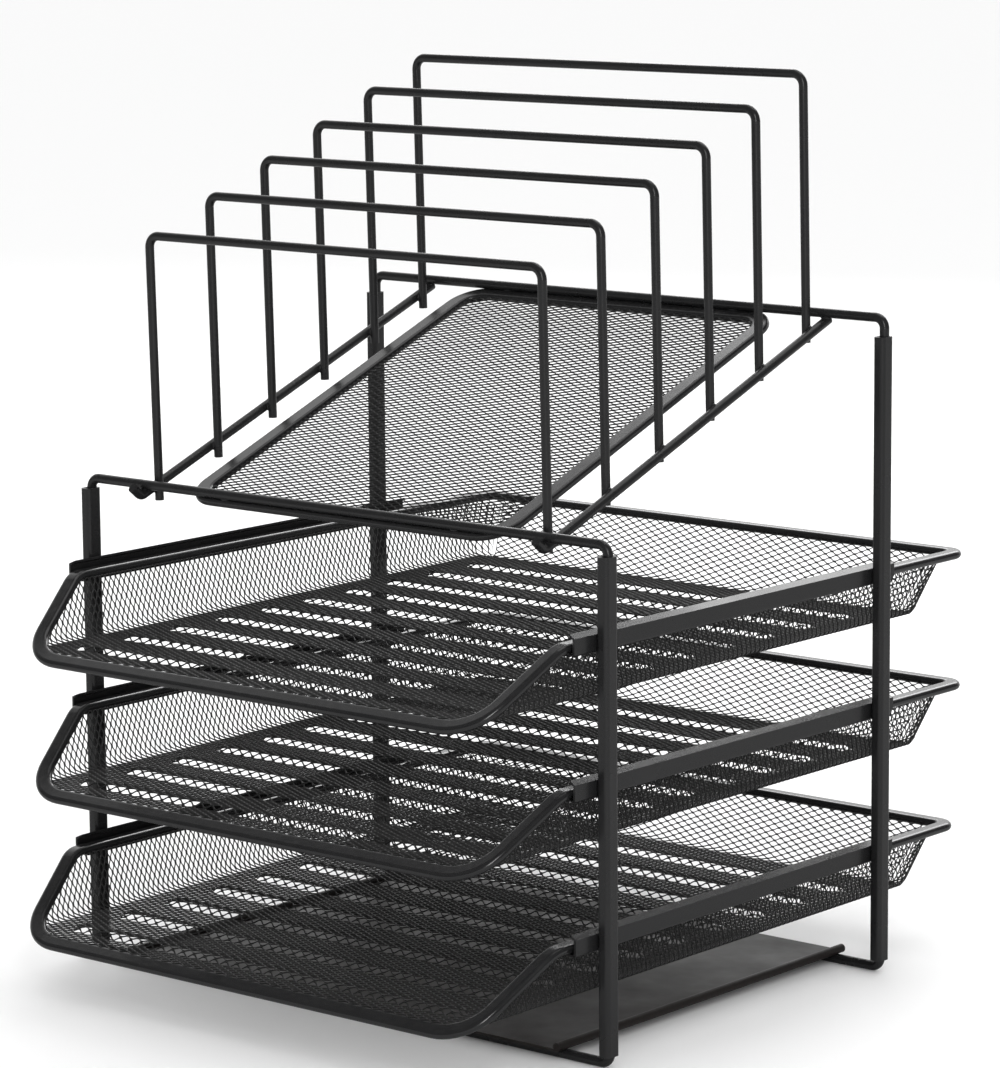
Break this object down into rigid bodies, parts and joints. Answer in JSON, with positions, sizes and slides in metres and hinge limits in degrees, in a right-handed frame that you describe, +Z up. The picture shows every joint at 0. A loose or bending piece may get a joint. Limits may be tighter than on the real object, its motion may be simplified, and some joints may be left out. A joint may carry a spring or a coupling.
{
  "type": "desktop file sorter",
  "caption": "Black steel desk organiser: sliding mesh letter trays held in a wire and tube frame, with a row of wire dividers standing on a sloping mesh floor on top.",
  "frame": {"origin": "on the desk, under the middle of the four posts", "axes": "+Z up; -Y towards the open front that the trays are pulled out of; +X to the right seen from the front"},
  "size_m": [0.2846, 0.32, 0.3776],
  "materials": {
    "wire": "satin black powder coat on round steel wire",
    "post": "satin black powder coat on steel tube",
    "rail": "satin black powder coat on folded steel strip",
    "rim": "smooth satin black powder coat on rolled steel edge",
    "mesh": "black powder coat on fine expanded steel mesh",
    "plate": "semi-matt black powder coat on steel sheet"
  },
  "bodies": {
    "frame": {"front_left_post": "post", "rear_left_post": "post", "front_right_post": "post", "rear_right_post": "post", "front_top_wire": "wire", "rear_top_wire": "wire", "front_base_wire": "wire", "rear_base_wire": "wire", "upper_left_rail": "rail", "upper_right_rail": "rail", "middle_left_rail": "rail", "middle_right_rail": "rail", "lower_left_rail": "rail", "lower_right_rail": "rail", "left_sorter_wire": "wire", "right_sorter_wire": "wire", "divider_1": "wire", "divider_2": "wire", "divider_3": "wire", "divider_4": "wire", "divider_5": "wire", "divider_6": "wire", "sorter_floor_rim": "rim", "sorter_floor": "mesh", "base_plate": "plate"},
    "upper_tray": {"upper_tray_rim": "rim", "upper_tray_pan": "mesh"},
    "middle_tray": {"middle_tray_rim": "rim", "middle_tray_pan": "mesh"},
    "lower_tray": {"lower_tray_rim": "rim", "lower_tray_pan": "mesh"}
  },
  "joints": [
    {"name": "upper_tray_slide", "type": "slide", "parent": "frame", "child": "upper_tray", "axis": [0, -1, 0], "range_m": [0, 0.15]},
    {"name": "middle_tray_slide", "type": "slide", "parent": "frame", "child": "middle_tray", "axis": [0, -1, 0], "range_m": [0, 0.15]},
    {"name": "lower_tray_slide", "type": "slide", "parent": "frame", "child": "lower_tray", "axis": [0, -1, 0], "range_m": [-0.0052, 0.15]}
  ]
}
